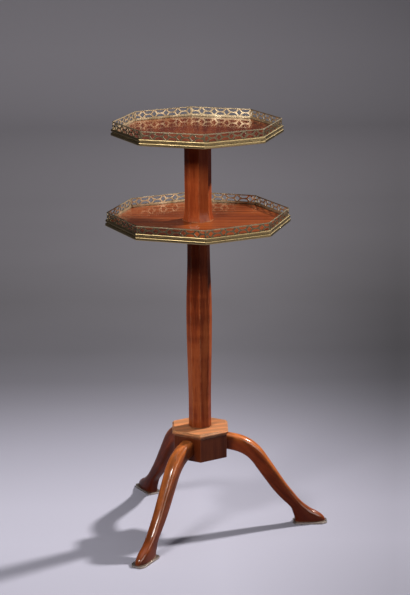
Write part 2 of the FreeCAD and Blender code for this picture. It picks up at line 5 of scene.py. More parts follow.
import bmesh
import bpy
from bpy.props import FloatProperty, FloatVectorProperty, IntProperty, PointerProperty
from bpy.types import Operator, Panel, PropertyGroup
from mathutils import Matrix, Vector


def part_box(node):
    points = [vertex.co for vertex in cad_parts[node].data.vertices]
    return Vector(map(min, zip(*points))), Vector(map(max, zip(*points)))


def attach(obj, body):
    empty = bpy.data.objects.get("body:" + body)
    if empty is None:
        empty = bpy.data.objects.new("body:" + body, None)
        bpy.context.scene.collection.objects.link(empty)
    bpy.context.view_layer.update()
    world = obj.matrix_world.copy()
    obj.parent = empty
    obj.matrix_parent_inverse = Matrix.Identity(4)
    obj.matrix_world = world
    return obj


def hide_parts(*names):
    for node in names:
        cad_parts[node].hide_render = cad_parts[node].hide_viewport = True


bl_info = {
    "name": "Tiered Tea Table",
    "version": (1, 0, 0),
    "blender": (4, 5, 0),
    "location": "View3D > Sidebar > Tea Table",
    "description": "Dresses the packed tea table with polished mahogany, pierced brass and a plain studio",
    "category": "Object",
}

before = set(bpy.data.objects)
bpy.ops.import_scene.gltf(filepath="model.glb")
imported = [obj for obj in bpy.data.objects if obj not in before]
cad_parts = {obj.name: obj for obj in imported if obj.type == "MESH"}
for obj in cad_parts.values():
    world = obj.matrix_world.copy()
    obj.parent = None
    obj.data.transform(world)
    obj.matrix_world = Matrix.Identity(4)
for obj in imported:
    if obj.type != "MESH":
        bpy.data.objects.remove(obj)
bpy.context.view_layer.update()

TRAY_SIDES = 8
BASE_SIDES = 6
TRAYS = ("upper", "lower")
LEG_TURNS = {"leg_right": 0, "leg_back": 120, "leg_front": 240}
HALF_CORNER = radians(180 / TRAY_SIDES)
QUARTER = pi / 2
FOOT_WIDTH = 0.883  # share of a leg's width at its root
VERT, EDGE, FACE = bmesh.types.BMVert, bmesh.types.BMEdge, bmesh.types.BMFace
TEXTURE = {"Color": "Color", "Roughness": "Float", "Height": "Float"}

plate_low, plate_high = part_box("cap_plate")
COLUMN = Vector(((plate_low.x + plate_high.x) / 2, (plate_low.y + plate_high.y) / 2, 0))
CAP_TOP = plate_high.z
CAP_FOOT = plate_low.z
BLOCK_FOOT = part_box("base_block")[0].z
TRAY_FOOT = {tray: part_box(f"{tray}_tray_board")[0].z for tray in TRAYS}
BOARD_TOP = {tray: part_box(f"{tray}_tray_board")[1].z for tray in TRAYS}
GALLERY_TOP = {tray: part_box(f"{tray}_gallery_side_1")[1].z for tray in TRAYS}
EDGING_TOP = {tray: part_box(f"{tray}_edging_1")[1].z for tray in TRAYS}
BEARER_FOOT = {tray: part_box(f"{tray}_bearer")[0].z for tray in TRAYS}
SOLE_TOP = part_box("foot_pad_right")[1].z
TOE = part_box("leg_right")[1].x - COLUMN.x


def length(name, description, default):
    return FloatProperty(
        name=name, description=description, default=default, min=0, precision=4, unit="LENGTH")


def share(name, description, default):
    return FloatProperty(name=name, description=description, default=default, subtype="FACTOR")


def angle(name, description, degrees):
    return FloatProperty(name=name, description=description, default=radians(degrees), subtype="ANGLE")


def power(name, description, watts):
    return FloatProperty(name=name, description=description, default=watts, min=0, unit="POWER")


def colour(name, description, default):
    return FloatVectorProperty(
        name=name, description=description, default=default, min=0, max=1, subtype="COLOR")


class TrayProps(PropertyGroup):
    turn: angle("Turn", "Turn of the stem and the trays on the base", 3.5)
    upper_radius: length("Upper radius", "Upper tray, middle to corner", 0.175)
    lower_radius: length("Lower radius", "Lower tray, middle to corner", 0.190)
    edging_width: length("Edging width", "Brass edging, board to outer face", 0.005)
    band: length("Band height", "Wide lower moulding of the edging", 0.0066)
    groove: length("Groove", "Height of the groove in the edging", 0.0019)
    setback: length("Bead setback", "Upper moulding behind the lower one", 0.0006)
    lean: length("Band lean", "Foot of the wide moulding behind its top", 0.0002)
    rib_rounding: length("Rib rounding", "Rounding of the edging's ribs", 0.0019)
    pin_level: length("Pin level", "Pins above the underside of the tray", 0.0034)
    bearer_radius: length("Bearer radius", "Bearer under a tray, middle to corner", 0.056)
    bearer_bevel: length("Bearer bevel", "Bevel round the underside of a bearer", 0.005)
    screw_circle: length("Screw circle", "Bearer screws from the stem's axis", 0.038)
    screw_radius: length("Screw head radius", "Head of a bearer screw", 0.004)
    screw_head: length("Screw head thickness", "Head of a bearer screw", 0.0024)
    screw_slot: length("Screw slot", "Depth of the slot in a screw's head", 0.0011)
    screw_length: length("Screw length", "Bearer screw with its head", 0.020)


class GalleryProps(PropertyGroup):
    thickness: length("Strip thickness", "Brass strip of the gallery", 0.0014)
    foot_rail: length("Foot rail", "Plain strip below the piercing", 0.0048)
    top_rail: length("Top rail", "Rail above the piercing", 0.0022)
    post: length("Post", "Upright at each end of a side", 0.0016)
    bar: length("Level bar", "Bar between two lozenges", 0.0022)
    land: length("Land", "Metal between a lozenge and the rails", 0.0006)
    bead: length("Bead", "Radius of the round bead along the top rail", 0.0012)
    arris: length("Arris", "Softened arrises of the piercing", 0.00018)
    lozenge: share("Lozenge", "Half a lozenge's width, in repeats", 0.20)
    moon: share("Half-moon", "Half a half-moon's width, in repeats", 0.33)
    upper_lozenges: IntProperty(
        name="Upper lozenges", description="Lozenges round the upper tray", default=38, min=8)
    lower_lozenges: IntProperty(
        name="Lower lozenges", description="Lozenges round the lower tray", default=40, min=8)
    upper_lead: share("Upper lead", "First upper lozenge, in repeats from a corner", 0.09)
    lower_lead: share("Lower lead", "First lower lozenge, in repeats from a corner", 0.60)


class StemProps(PropertyGroup):
    upper_radius: length("Upper stem", "Upper stem, middle to corner", 0.0276)
    foot_radius: length("Flared foot", "Flared foot of the upper stem, middle to corner", 0.0325)
    flare: length("Flare", "Height of the flared foot", 0.031)
    sunk: length("Sunk foot", "Flared foot below the board's top", 0.001)
    lower_radius: length("Lower stem", "Lower stem at its fullest, middle to corner", 0.0267)
    arris: length("Arris", "Softened arrises of the stem", 0.0007)


class BaseProps(PropertyGroup):
    cap_radius: length("Cap plate", "Hexagonal plate, middle to corner", 0.0675)
    block_radius: length("Block", "Hexagonal block, middle to corner", 0.0635)
    leg_drop: length("Leg drop", "Underside of the plate to the middle of a leg's root", 0.024)
    leg_depth: length("Leg depth", "Leg at its root, top to underside", 0.035)
    leg_width: length("Leg width", "Leg at its root, side to side", 0.030)
    foot_length: length("Foot length", "Sole of a foot, heel to toe", 0.066)
    foot_height: length("Foot height", "Sole to the ankle", 0.037)
    sole_margin: length("Sole margin", "Sole plate beyond the foot", 0.003)


class FinishProps(PropertyGroup):
    wood_dark: colour("Mahogany, dark", "Darkest streaks", (0.1, 0.016, 0.005))
    wood_middle: colour("Mahogany, middle", "Ground colour", (0.24, 0.043, 0.011))
    wood_light: colour("Mahogany, light", "Light figure", (0.4, 0.1, 0.026))
    # Tone of the wood's rubbed edges, which also serve as a painted highlight along its arrises
    wood_rubbed_and_highlight: colour("Mahogany, worn", "Rubbed edges", (0.62, 0.31, 0.145))
    wood_golden: colour("Mahogany, golden", "Faded tone", (0.62, 0.23, 0.05))
    side_painted_shade: colour("Painted shade, sides", "Shade painted over sides that don't face up", (0.40, 0.21, 0.16))
    foot_painted_shade: colour("Painted shade, feet", "Shade painted over the feet", (0.40, 0.30, 0.28))
    brass_bright: colour("Brass, bright", "Rubbed brass", (0.88, 0.7, 0.4))
    brass_dull: colour("Brass, dull", "Toned brass", (0.42, 0.31, 0.15))
    brass_dark: colour("Brass, dark", "Dirt in corners", (0.045, 0.032, 0.018))
    brass_silvery: colour("Brass, silvery", "Bright brass with its yellow worn off", (0.66, 0.60, 0.56))
    brass_grey: colour("Brass, grey", "Toned brass with its yellow worn off", (0.34, 0.29, 0.26))
    brass_glint: colour("Brass, glint", "Tone that rubbed edges lean to", (1, 0.95, 0.85))
    steel: colour("Steel", "Darkened screws", (0.33, 0.31, 0.29))
    rust: colour("Rust", "Rust on the screws", (0.10, 0.045, 0.025))


class StudioProps(PropertyGroup):
    floor: colour("Floor", "Pale floor round the table", (0.36, 0.353, 0.428))
    wall: colour("Wall", "Grey wall far behind", (0.36, 0.344, 0.385))
    key_power: power("Key light", "Lamp behind the table on the right", 300)
    fill_power: power("Fill light", "Soft lamp in front on the left", 20)
    side_power: power("Screen", "Wide screen that polished faces mirror", 34)
    top_power: power("Top light", "Broad soft lamp overhead", 32)
    lens: FloatProperty(
        name="Lens", description="Focal length on 36 mm film", default=157.08, min=1, unit="CAMERA")
    camera_distance: length("Camera distance", "Camera to the stem's axis, along the floor", 3.565)
    camera_height: length("Camera height", "Camera above the floor", 1.466)
    pitch: angle("Pitch", "Camera, down from level", 15.17)
    swing: angle("Swing", "Camera round the stem's axis, towards the left", 0.74)
    yaw: angle("Yaw", "Camera turned past the axis, towards the right", 0.20)
    roll: angle("Roll", "Camera rolled about its own line of sight", 0.45)


def family(kind, name, description):
    return PointerProperty(type=kind, name=name, description=description)


class TeaTableProps(PropertyGroup):
    trays: family(TrayProps, "Trays", "Sizes of both trays")
    gallery: family(GalleryProps, "Galleries", "Sizes of the pierced brass")
    stem: family(StemProps, "Stem", "Sizes of the stem")
    base: family(BaseProps, "Base", "Sizes of the base and legs")
    finish: family(FinishProps, "Finishes", "Colours of wood and metal")
    studio: family(StudioProps, "Studio", "Camera, floor and lamps")


# Mesh making that several pieces share
def about_column(turn):
    """The place on the stem's axis, turned round it."""
    return Matrix.Translation(COLUMN) @ Matrix.Rotation(turn, 4, "Z")


def board_apothem(trays, tray):
    """From the stem's axis to the flat of a board, where the edging starts."""
    return getattr(trays, f"{tray}_radius") * cos(HALF_CORNER) - trays.edging_width


def side_places(trays):
    """For each side of a tray, its number and the place of a piece that is drawn across +Y."""
    for side in range(TRAY_SIDES):
        yield side + 1, about_column(trays.turn + (side + 0.5) * 2 * HALF_CORNER - QUARTER)


def only(kind, items):
    return [item for item in items if isinstance(item, kind)]


def beside(verts, kind):
    """The edges or faces at the given vertices, each once and in a steady order."""
    return list(dict.fromkeys(item for vert in verts for item in getattr(vert, f"link_{kind}")))


def grow(bm, faces, way):
    """Extrude faces along a vector, and keep them. Returns what is new."""
    grown = bmesh.ops.extrude_face_region(bm, geom=faces)["geom"]
    bmesh.ops.translate(bm, vec=way, verts=only(VERT, grown))
    return grown


def ring_stack(bm, sides, rings, place):
    """A closed solid raised along +Z of its place, ring by ring, from pairs of corner radius and height."""
    radius, level = rings[0]
    foot = bmesh.ops.create_circle(
        bm, cap_ends=True, segments=sides, radius=radius, matrix=place @ Matrix.Translation((0, 0, level)))
    base = cap = foot["verts"][0].link_faces[0]
    for next_radius, next_level in rings[1:]:
        grown = grow(bm, [cap], place.to_3x3() @ Vector((0, 0, next_level - level)))
        if cap is not base:
            bmesh.ops.delete(bm, geom=[cap], context="FACES_ONLY")
        cap = only(FACE, grown)[0]
        ratio = next_radius / radius
        bmesh.ops.scale(bm, vec=(ratio, ratio, 1), space=place.inverted(), verts=cap.verts)
        radius, level = next_radius, next_level


def soften(bm, width, segments=3, least=18, edges=None):
    """Round the given edges, or those at which faces meet at more than the least angle, in degrees."""
    if edges is None:
        edges = [
            edge for edge in bm.edges if edge.is_manifold and edge.calc_face_angle(0) > radians(least)]
    bmesh.ops.bevel(
        bm, geom=edges, offset=width, offset_type="OFFSET", segments=segments, profile=0.5, affect="EDGES",
        clamp_overlap=True, material=-1)


def along_side(bm, section):
    """A mitred length from a section of distances from the axis and heights, drawn across +Y."""
    slope = tan(HALF_CORNER)
    end = bm.faces.new([bm.verts.new((-out * slope, out, up)) for out, up in section])
    for vert in only(VERT, grow(bm, [end], (0, 0, 0))):
        vert.co.x = -vert.co.x


def new_object(name, data):
    made = bpy.data.objects.new(name, data)
    bpy.context.scene.collection.objects.link(made)
    return made


def new_mesh(bm, name, finish):
    """The object that shows a finished mesh."""
    mesh = bpy.data.meshes.new(name)
    bm.to_mesh(mesh)
    bm.free()
    mesh.materials.append(bpy.data.materials[finish])
    mesh.shade_smooth()
    return new_object(name, mesh)


def add_piece(bm, node, made, finish, flat=True):
    """Put a finished mesh in the scene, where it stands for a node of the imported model."""
    bmesh.ops.recalc_face_normals(bm, faces=bm.faces)
    piece = new_mesh(bm, f"{node}_{made}", finish)
    if flat:
        piece.data.set_sharp_from_angle(angle=radians(35))
        weighting = piece.modifiers.new("Flat faces stay flat", "WEIGHTED_NORMAL")
        weighting.keep_sharp = True
        weighting.weight = 90
    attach(piece, "root")
    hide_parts(node)
    return piece


def add_stack(node, made, finish, slot, sides, rings, turn, **rounding):
    """Add a piece that is one stack of rings on the stem's axis, its arrises softened."""
    bm = bmesh.new()
    ring_stack(bm, sides, rings, about_column(turn))
    soften(bm, **rounding)
    add_piece(bm, node, made, finish)


# Nodes that several finishes share
def connect(tree, node, inputs):
    """Give a node its plain values and its links, by socket."""
    for key, value in inputs.items():
        if isinstance(value, bpy.types.NodeSocket):
            tree.links.new(value, node.inputs[key])
        else:
            node.inputs[key].default_value = value


def add_node(tree, kind, inputs=None, **settings):
    made = tree.nodes.new(kind)
    for key, value in settings.items():
        setattr(made, key, value)
    connect(tree, made, inputs or {})
    return made


def start_group(name, inputs, outputs):
    """A node group with its sockets' kinds by name. Returns its tree and what it is given."""
    tree = bpy.data.node_groups.new(name, "ShaderNodeTree")
    for way, sockets in (("INPUT", inputs), ("OUTPUT", outputs)):
        for label, kind in sockets.items():
            tree.interface.new_socket(name=label, in_out=way, socket_type=f"NodeSocket{kind}")
    return tree, add_node(tree, "NodeGroupInput").outputs


def group_node(tree, name, inputs):
    return add_node(tree, "ShaderNodeGroup", inputs, node_tree=bpy.data.node_groups[name]).outputs


def object_place(tree):
    return add_node(tree, "ShaderNodeTexCoord").outputs["Object"]


def surface(tree, output):
    return add_node(tree, "ShaderNodeNewGeometry").outputs[output]


def part_of(tree, vector, axis):
    return add_node(tree, "ShaderNodeSeparateXYZ", {0: vector}).outputs[axis]


def vector_node(tree, operation, first, second):
    return add_node(tree, "ShaderNodeVectorMath", {0: first, 1: second}, operation=operation).outputs


def noise(tree, vector, stretch, detail, roughness=0.55, distortion=0):
    return add_node(tree, "ShaderNodeTexNoise", {
        "Vector": vector_node(tree, "MULTIPLY", vector, stretch)[0], "Scale": 1, "Detail": detail,
        "Roughness": roughness, "Distortion": distortion,
    }).outputs["Fac"]


def math_node(tree, operation, first, second, clamp=False):
    return add_node(tree, "ShaderNodeMath", {
        0: first, 1: second,
    }, operation=operation, use_clamp=clamp).outputs[0]


def times(tree, first, second, clamp=False):
    return math_node(tree, "MULTIPLY", first, second, clamp)


def plus(tree, first, second, clamp=False):
    return math_node(tree, "ADD", first, second, clamp)


def minus(tree, first, second):
    return math_node(tree, "SUBTRACT", first, second)


def remap(tree, value, low, high, to_low=0, to_high=1):
    return add_node(tree, "ShaderNodeMapRange", {
        "Value": value, "From Min": low, "From Max": high, "To Min": to_low, "To Max": to_high,
    }).outputs["Result"]


def mix(tree, amount, first, second, blend="MIX"):
    return add_node(tree, "ShaderNodeMix", {
        0: amount, 6: first, 7: second,
    }, data_type="RGBA", blend_type=blend).outputs[2]


def bump(tree, height, strength, distance):
    return add_node(tree, "ShaderNodeBump", {
        "Height": height, "Strength": strength, "Distance": distance,
    }).outputs[0]


def opaque(rgb):
    return (*rgb, 1)


def make_grain_group():
    """Mahogany: broad figure, streaks and fine fibres along the vector's X, and short dark pores."""
    tree, given = start_group("Mahogany grain", {
        "Vector": "Vector", "Dark": "Color", "Middle": "Color", "Light": "Color", "Figure": "Float",
        "Contrast": "Float",
    }, TEXTURE)
    vector = given["Vector"]
    drift = noise(tree, vector, (3, 9, 9), 2)
    streaks = noise(tree, vector, (4, 80, 80), 5, 0.6)
    fibres = noise(tree, vector, (28, 900, 900), 3, 0.6)
    pores = remap(tree, noise(tree, vector, (70, 2300, 2300), 1), 0.62, 0.72)
    across = noise(tree, vector, (34, 5, 5), 2, 0.5, 0.4)
    rings = add_node(tree, "ShaderNodeTexWave", {
        "Vector": vector_node(tree, "MULTIPLY", vector, (1.1, 30, 30))[0], "Scale": 0.9, "Distortion": 7,
        "Detail": 3, "Detail Scale": 0.6, "Detail Roughness": 0.6,
    }, wave_type="BANDS", bands_direction="DIAGONAL").outputs["Fac"]
    tone = plus(tree, times(tree, streaks, 0.45), times(tree, drift, 0.55))
    for part in (
        times(tree, times(tree, minus(tree, rings, 0.5), given["Figure"]), 0.16),
        remap(tree, fibres, 0.3, 0.7, -0.05, 0.05),
        remap(tree, across, 0.35, 0.65, -0.03, 0.03),
    ):
        tone = plus(tree, tone, part)
    tone = plus(tree, times(tree, minus(tree, tone, 0.5), given["Contrast"]), 0.5)
    shade = mix(tree, remap(tree, tone, 0.22, 0.52), given["Dark"], given["Middle"])
    shade = mix(tree, remap(tree, tone, 0.44, 0.80), shade, given["Light"])
    shade = mix(tree, times(tree, pores, 0.55), shade, given["Dark"])
    add_node(tree, "NodeGroupOutput", {
        "Color": shade, "Roughness": remap(tree, fibres, 0.3, 0.7, 0.30, 0.42),
        "Height": minus(tree, times(tree, fibres, 0.35), pores),
    })


def make_wear_group():
    """Rubbed edges, on the wood also a painted highlight: where a rounded normal leaves the true one, broken up
    by noise.
    """
    tree, given = start_group("Worn edges", {"Vector": "Vector", "Radius": "Float"}, {"Mask": "Float"})
    rounded = add_node(tree, "ShaderNodeBevel", {"Radius": given["Radius"]}, samples=6).outputs["Normal"]
    alike = vector_node(tree, "DOT_PRODUCT", rounded, surface(tree, "Normal"))["Value"]
    patches = remap(tree, noise(tree, given["Vector"], (60, 60, 60), 4, 0.65), 0.40, 0.60)
    mask = times(tree, remap(tree, alike, 0.985, 0.88), patches, clamp=True)
    add_node(tree, "NodeGroupOutput", {"Mask": mask})


def make_corner_group():
    """Darker in corners, where little of the surroundings reaches the surface: dirt on the brass, painted shade
    on the wood.
    """
    tree, given = start_group("Corner dirt", {"Vector": "Vector", "Distance": "Float"}, {"Mask": "Float"})
    open_share = add_node(
        tree, "ShaderNodeAmbientOcclusion", {"Distance": given["Distance"]}, samples=6).outputs["AO"]
    patches = noise(tree, given["Vector"], (140, 140, 140), 3, 0.6)
    closed = remap(tree, open_share, 0.85, 0.35)
    mask = times(tree, closed, remap(tree, patches, 0.3, 0.6, 0.35, 1), clamp=True)
    add_node(tree, "NodeGroupOutput", {"Mask": mask})


def make_patina_group():
    """Toned brass: cloudy patches between bright and dull, with small dark spots and fine scratches."""
    tree, given = start_group("Brass patina", {
        "Vector": "Vector", "Bright": "Color", "Dull": "Color", "Dark": "Color",
    }, TEXTURE)
    vector = given["Vector"]
    clouds = noise(tree, vector, (38, 38, 60), 5, 0.62, 0.5)
    spots = remap(tree, noise(tree, vector, (420, 420, 420), 2), 0.64, 0.74)
    scratches = noise(tree, vector, (260, 260, 1800), 2)
    tone = mix(tree, remap(tree, clouds, 0.36, 0.66), given["Dull"], given["Bright"])
    add_node(tree, "NodeGroupOutput", {
        "Color": mix(tree, times(tree, spots, 0.7), tone, given["Dark"]),
        "Roughness": plus(tree, remap(tree, clouds, 0.35, 0.65, 0.30, 0.17), times(tree, spots, 0.25)),
        "Height": minus(tree, times(tree, scratches, 0.4), spots),
    })


def new_material(name):
    material = bpy.data.materials.new(name)
    material.use_nodes = True
    return material.node_tree, material.node_tree.nodes["Principled BSDF"]


def mahogany(
        name, finish, turn=(0, 0, 0), place=(0, 0, 0), gain=1, pale=0, figure=0.5, contrast=1, coat=0.6,
        sheen=0.06, wear=0.0022, under=0, feet=0, tint=None):
    """French-polished mahogany, its grain along +X before the turn.

    Gain scales its tones, pale leans them to the tint, contrast draws them apart, under paints shade over the
    sides that don't face up, and feet paints shade over what stands near the floor.
    """
    tree, shader = new_material(name)
    coordinates = object_place(tree)
    vector = add_node(tree, "ShaderNodeMapping", {
        "Vector": coordinates, "Location": place, "Rotation": turn,
    }, vector_type="TEXTURE").outputs[0]
    golden = Vector(tint or finish.wood_golden)
    dark, middle, light = (
        opaque(Vector(tone).lerp(golden, pale) * gain)
        for tone in (finish.wood_dark, finish.wood_middle, finish.wood_light))
    grain = group_node(tree, "Mahogany grain", {
        "Vector": vector, "Dark": dark, "Middle": middle, "Light": light, "Figure": figure,
        "Contrast": contrast,
    })
    edges = group_node(tree, "Worn edges", {"Vector": vector, "Radius": wear})["Mask"]
    corners = group_node(tree, "Corner dirt", {"Vector": vector, "Distance": 0.010})["Mask"]
    tone, polish = grain["Color"], coat
    # Painted shade: sides and undersides that don't face up are darkened, and their coat is thinned
    if under:
        below = remap(tree, part_of(tree, surface(tree, "Normal"), "Z"), 0.55, 0.02, 0, under)
        tone = mix(tree, below, tone, opaque(finish.side_painted_shade), "MULTIPLY")
        polish = minus(tree, coat, times(tree, below, coat * 0.85))
    # Painted shade: the feet grow darker towards the floor
    if feet:
        low = remap(tree, part_of(tree, coordinates, "Z"), 0.15, 0.03, 0, feet)
        tone = mix(tree, low, tone, opaque(finish.foot_painted_shade), "MULTIPLY")
    # Lighter rubbed edges: partly wear, partly a painted highlight along the arrises
    tone = mix(tree, times(tree, edges, 0.75), tone, opaque(finish.wood_rubbed_and_highlight))
    # Painted shade in the wood's corners and joints, where little of the surroundings reaches
    tone = mix(tree, times(tree, corners, 0.75), tone, opaque(Vector(finish.wood_dark) * 0.3))
    connect(tree, shader, {
        "Base Color": tone, "Roughness": grain["Roughness"], "Specular IOR Level": 0.03,
        "Coat Weight": polish, "Coat Roughness": sheen, "Normal": bump(tree, grain["Height"], 0.08, 0.0004),
    })


def brass(name, finish, dull=0, dirt=0.9, roughness=0, pale=0, outer=0, metal=1):
    """Toned brass, dark in the corners and bright on the rubbed edges.

    Pale leans it to a silvery tone, and outer paints shade over the faces that look away from the stem.
    """
    tree, shader = new_material(name)
    vector = object_place(tree)
    bright = Vector(finish.brass_bright).lerp(Vector(finish.brass_silvery), pale)
    low = Vector(finish.brass_dull).lerp(Vector(finish.brass_grey), pale)
    patina = group_node(tree, "Brass patina", {
        "Vector": vector, "Bright": opaque(bright.lerp(low, dull)), "Dull": opaque(low),
        "Dark": opaque(finish.brass_dark),
    })
    edges = group_node(tree, "Worn edges", {"Vector": vector, "Radius": 0.0006})["Mask"]
    corners = group_node(tree, "Corner dirt", {"Vector": vector, "Distance": 0.0035})["Mask"]
    tone = mix(tree, times(tree, corners, dirt), patina["Color"], opaque(finish.brass_dark))
    # Painted shade: faces that look away from the stem are darkened, with fewer rubbed edges on them
    from_stem = vector_node(tree, "SUBTRACT", vector, COLUMN)[0]
    outward = vector_node(tree, "DOT_PRODUCT", from_stem, surface(tree, "Normal"))["Value"]
    tone = mix(tree, remap(tree, outward, 0.02, 0.10, 0, outer), tone, opaque(low * 0.2))
    glint = bright.lerp(Vector(finish.brass_glint), 0.3)
    tone = mix(tree, times(tree, edges, 0.7 - 0.5 * outer), tone, opaque(glint))
    rough = plus(tree, patina["Roughness"], times(tree, corners, 0.3), clamp=True)
    connect(tree, shader, {
        "Base Color": tone, "Roughness": plus(tree, rough, roughness, clamp=True), "Metallic": metal,
        "Normal": bump(tree, patina["Height"], 0.15, 0.0003),
    })


def blackened_steel(name, finish):
    """Darkened steel with patches of rust."""
    tree, shader = new_material(name)
    rust = remap(tree, noise(tree, object_place(tree), (500, 500, 500), 4, 0.65), 0.42, 0.64)
    connect(tree, shader, {
        "Base Color": mix(tree, rust, opaque(finish.steel), opaque(finish.rust)),
        "Roughness": remap(tree, rust, 0, 1, 0.32, 0.75), "Metallic": remap(tree, rust, 0, 1, 1, 0.1),
        "Normal": bump(tree, rust, 0.2, 0.0002),
    })


class TEATABLE_OT_camera(Operator):
    """Set up the camera of the portrait"""
    bl_idname = "teatable.camera"
    bl_label = "Camera"

    def execute(self, context):
        studio = context.scene.tea_table.studio
        data = bpy.data.cameras.new("portrait_camera")
        data.sensor_fit = "HORIZONTAL"
        data.sensor_width = 36
        data.lens = studio.lens
        data.clip_end = 60
        camera = new_object("portrait_camera", data)
        swing, away = studio.swing, studio.camera_distance
        camera.location = COLUMN + Vector(
            (-away * sin(swing), -away * cos(swing), studio.camera_height))
        level = Matrix.Rotation(-swing - studio.yaw, 4, "Z") @ Matrix.Rotation(QUARTER - studio.pitch, 4, "X")
        camera.rotation_euler = (level @ Matrix.Rotation(-studio.roll, 4, "Z")).to_euler()
        context.scene.camera = camera
        return {"FINISHED"}


def cast_lamp(name, watts, place, target, tint, size, height=None):
    """A lamp aimed at its target: a disk, or with a height of its own a rectangle."""
    data = bpy.data.lights.new(name, "AREA")
    data.energy = watts
    data.color = tint
    data.shape = "RECTANGLE" if height else "DISK"
    data.size = size
    if height:
        data.size_y = height
    lamp = new_object(name, data)
    lamp.location = place
    lamp.rotation_euler = (target - place).to_track_quat("-Z", "Y").to_euler()
    return lamp


class TEATABLE_OT_stage(Operator):
    """Lay the pale floor, its painted shade darkening it into the wall, and hang the lamps"""
    bl_idname = "teatable.stage"
    bl_label = "Stage"

    # Paper: half its width, its front edge, where it bends up and how widely, and its height above the bend
    HALF_WIDTH, FRONT, BEND, BEND_RADIUS, RISE = 7, -6, 5, 1.5, 4

    # Paper from front to back: place in metres, share of the pale tone (a painted pool of light round the
    # table, painted shade behind it), lean to the wall's hue, painted shade on the right
    FLOOR = [
        (-0.4, 0.845, 0, 0.31), (-0.1, 0.95, 0, 0.31), (0.1, 0.93, 0, 0.36), (0.27, 0.83, 0, 0.43),
        (0.467, 0.69, 0, 0.51), (0.68, 0.508, 0.1, 0.58), (0.83, 0.384, 0.2, 0.62), (1.0, 0.28, 0.4, 0.66),
        (1.275, 0.226, 0.7, 0.69), (1.81, 0.25, 1, 0.61), (3.3, 0.50, 1, 0.47), (5.0, 1.0, 1, 0.25),
        (5.84, 1.29, 1, 0.12), (6.5, 1.28, 1, 0),
    ]

    def execute(self, context):
        scene = context.scene
        studio = scene.tea_table.studio
        scene.view_settings.view_transform = "Standard"
        bm = bmesh.new()
        rim = bm.edges.new([bm.verts.new((x, self.FRONT, 0)) for x in (-self.HALF_WIDTH, self.HALF_WIDTH)])
        laid = bmesh.ops.extrude_edge_only(bm, edges=[rim])["geom"]
        bmesh.ops.translate(bm, vec=(0, self.BEND - self.FRONT, 0), verts=only(VERT, laid))
        bent = bmesh.ops.spin(
            bm, geom=only(EDGE, laid), cent=(0, self.BEND, self.BEND_RADIUS), axis=(1, 0, 0),
            dvec=(0, 0, 0), angle=QUARTER, steps=16, use_duplicate=False)["geom_last"]
        risen = bmesh.ops.extrude_edge_only(bm, edges=only(EDGE, bent))["geom"]
        bmesh.ops.translate(bm, vec=(0, 0, self.RISE), verts=only(VERT, risen))
        bmesh.ops.reverse_faces(bm, faces=bm.faces[:])
        self.paper(studio)
        floor = new_mesh(bm, "studio_floor", "Studio paper")
        self.light(scene, studio)
        return {"FINISHED"}

    def paper(self, studio):
        """Pale paper with a painted pool of light near the table and painted shade behind it, in front and to
        the right, clear when it is seen from its back.
        """
        tree, shader = new_material("Studio paper")
        coordinates = object_place(tree)
        aside, behind = (part_of(tree, coordinates, axis) for axis in "XY")
        start, reach = self.FLOOR[0][0], self.FLOOR[-1][0] - self.FLOOR[0][0]
        along = math_node(tree, "DIVIDE", minus(tree, behind, start), reach, clamp=True)
        ramp, falloff = (add_node(tree, "ShaderNodeValToRGB", {"Fac": along}) for _ in range(2))
        pale, wall = Vector(studio.floor), Vector(studio.wall)
        for metres, bright, far, right in self.FLOOR:
            place = (metres - start) / reach
            for made, tone in ((ramp, pale.lerp(wall, far) * bright), (falloff, (right, right, right))):
                stops = made.color_ramp.elements
                stop = stops[0] if place == 0 else stops[-1] if place == 1 else stops.new(place)
                stop.color = opaque(tone)
        clouds = remap(tree, noise(tree, coordinates, (0.8, 0.8, 0.8), 3), 0.3, 0.7, 0, 0.06)
        tone = mix(tree, clouds, ramp.outputs["Color"], (0.35, 0.34, 0.38, 1))
        # Painted shade on the floor far in front
        tone = mix(tree, remap(tree, behind, -0.8, -1.7, 0, 0.7), tone, (0.06, 0.055, 0.055, 1))
        # Painted shade on the floor to the right
        away = math_node(tree, "MAXIMUM", plus(tree, behind, 3), 1)
        sideways = remap(tree, math_node(tree, "DIVIDE", aside, away), 0.0, 0.125)
        tone = mix(tree, times(tree, sideways, falloff.outputs["Color"]), tone, (0, 0, 0, 1))
        connect(tree, shader, {
            "Base Color": tone, "Roughness": 0.9, "Specular IOR Level": 0.1,
            "Alpha": minus(tree, 1, surface(tree, "Backfacing")),
        })

    def light(self, scene, studio):
        """Hang the lamps, and fill the air with a faint cool light."""
        aim = COLUMN + Vector((0, 0, 0.4))
        turn, rise, warm = radians(32), radians(41), (1, 0.97, 0.93)
        key_way = Vector((cos(turn), sin(turn), tan(rise))).normalized()
        cast_lamp("key_lamp", studio.key_power, aim + key_way * 4, aim, warm, 0.30)
        cast_lamp("fill_lamp", studio.fill_power, COLUMN + Vector((-0.72, -1.02, 1.4)), aim, warm, 0.4, 0.3)
        cast_lamp(
            "top_lamp", studio.top_power, aim + Vector((0.4, 0.5, 2.8)), aim + Vector((0.1, 0.2, 0)),
            (0.93, 0.95, 1), 3.2, 3.2)
        screen = cast_lamp(
            "side_lamp", studio.side_power, COLUMN + Vector((1.68, -1.57, 1.15)), aim, (1, 0.96, 0.92), 1.6,
            1.2)
        screen.visible_diffuse = False
        # The boards don't mirror the screen, so that they stay wood-coloured when seen from behind
        kept_off = bpy.data.collections.new("Kept off the screen")
        for tray in TRAYS:
            kept_off.objects.link(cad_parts[f"{tray}_tray_board"])
        for member in kept_off.collection_objects:
            member.light_linking.link_state = "EXCLUDE"
        screen.light_linking.receiver_collection = kept_off
        world = bpy.data.worlds.new("Studio air")
        scene.world = world
        world.use_nodes = True
        air = world.node_tree.nodes["Background"]
        air.inputs["Color"].default_value = (0.90, 0.93, 1, 1)
        air.inputs["Strength"].default_value = 0.035


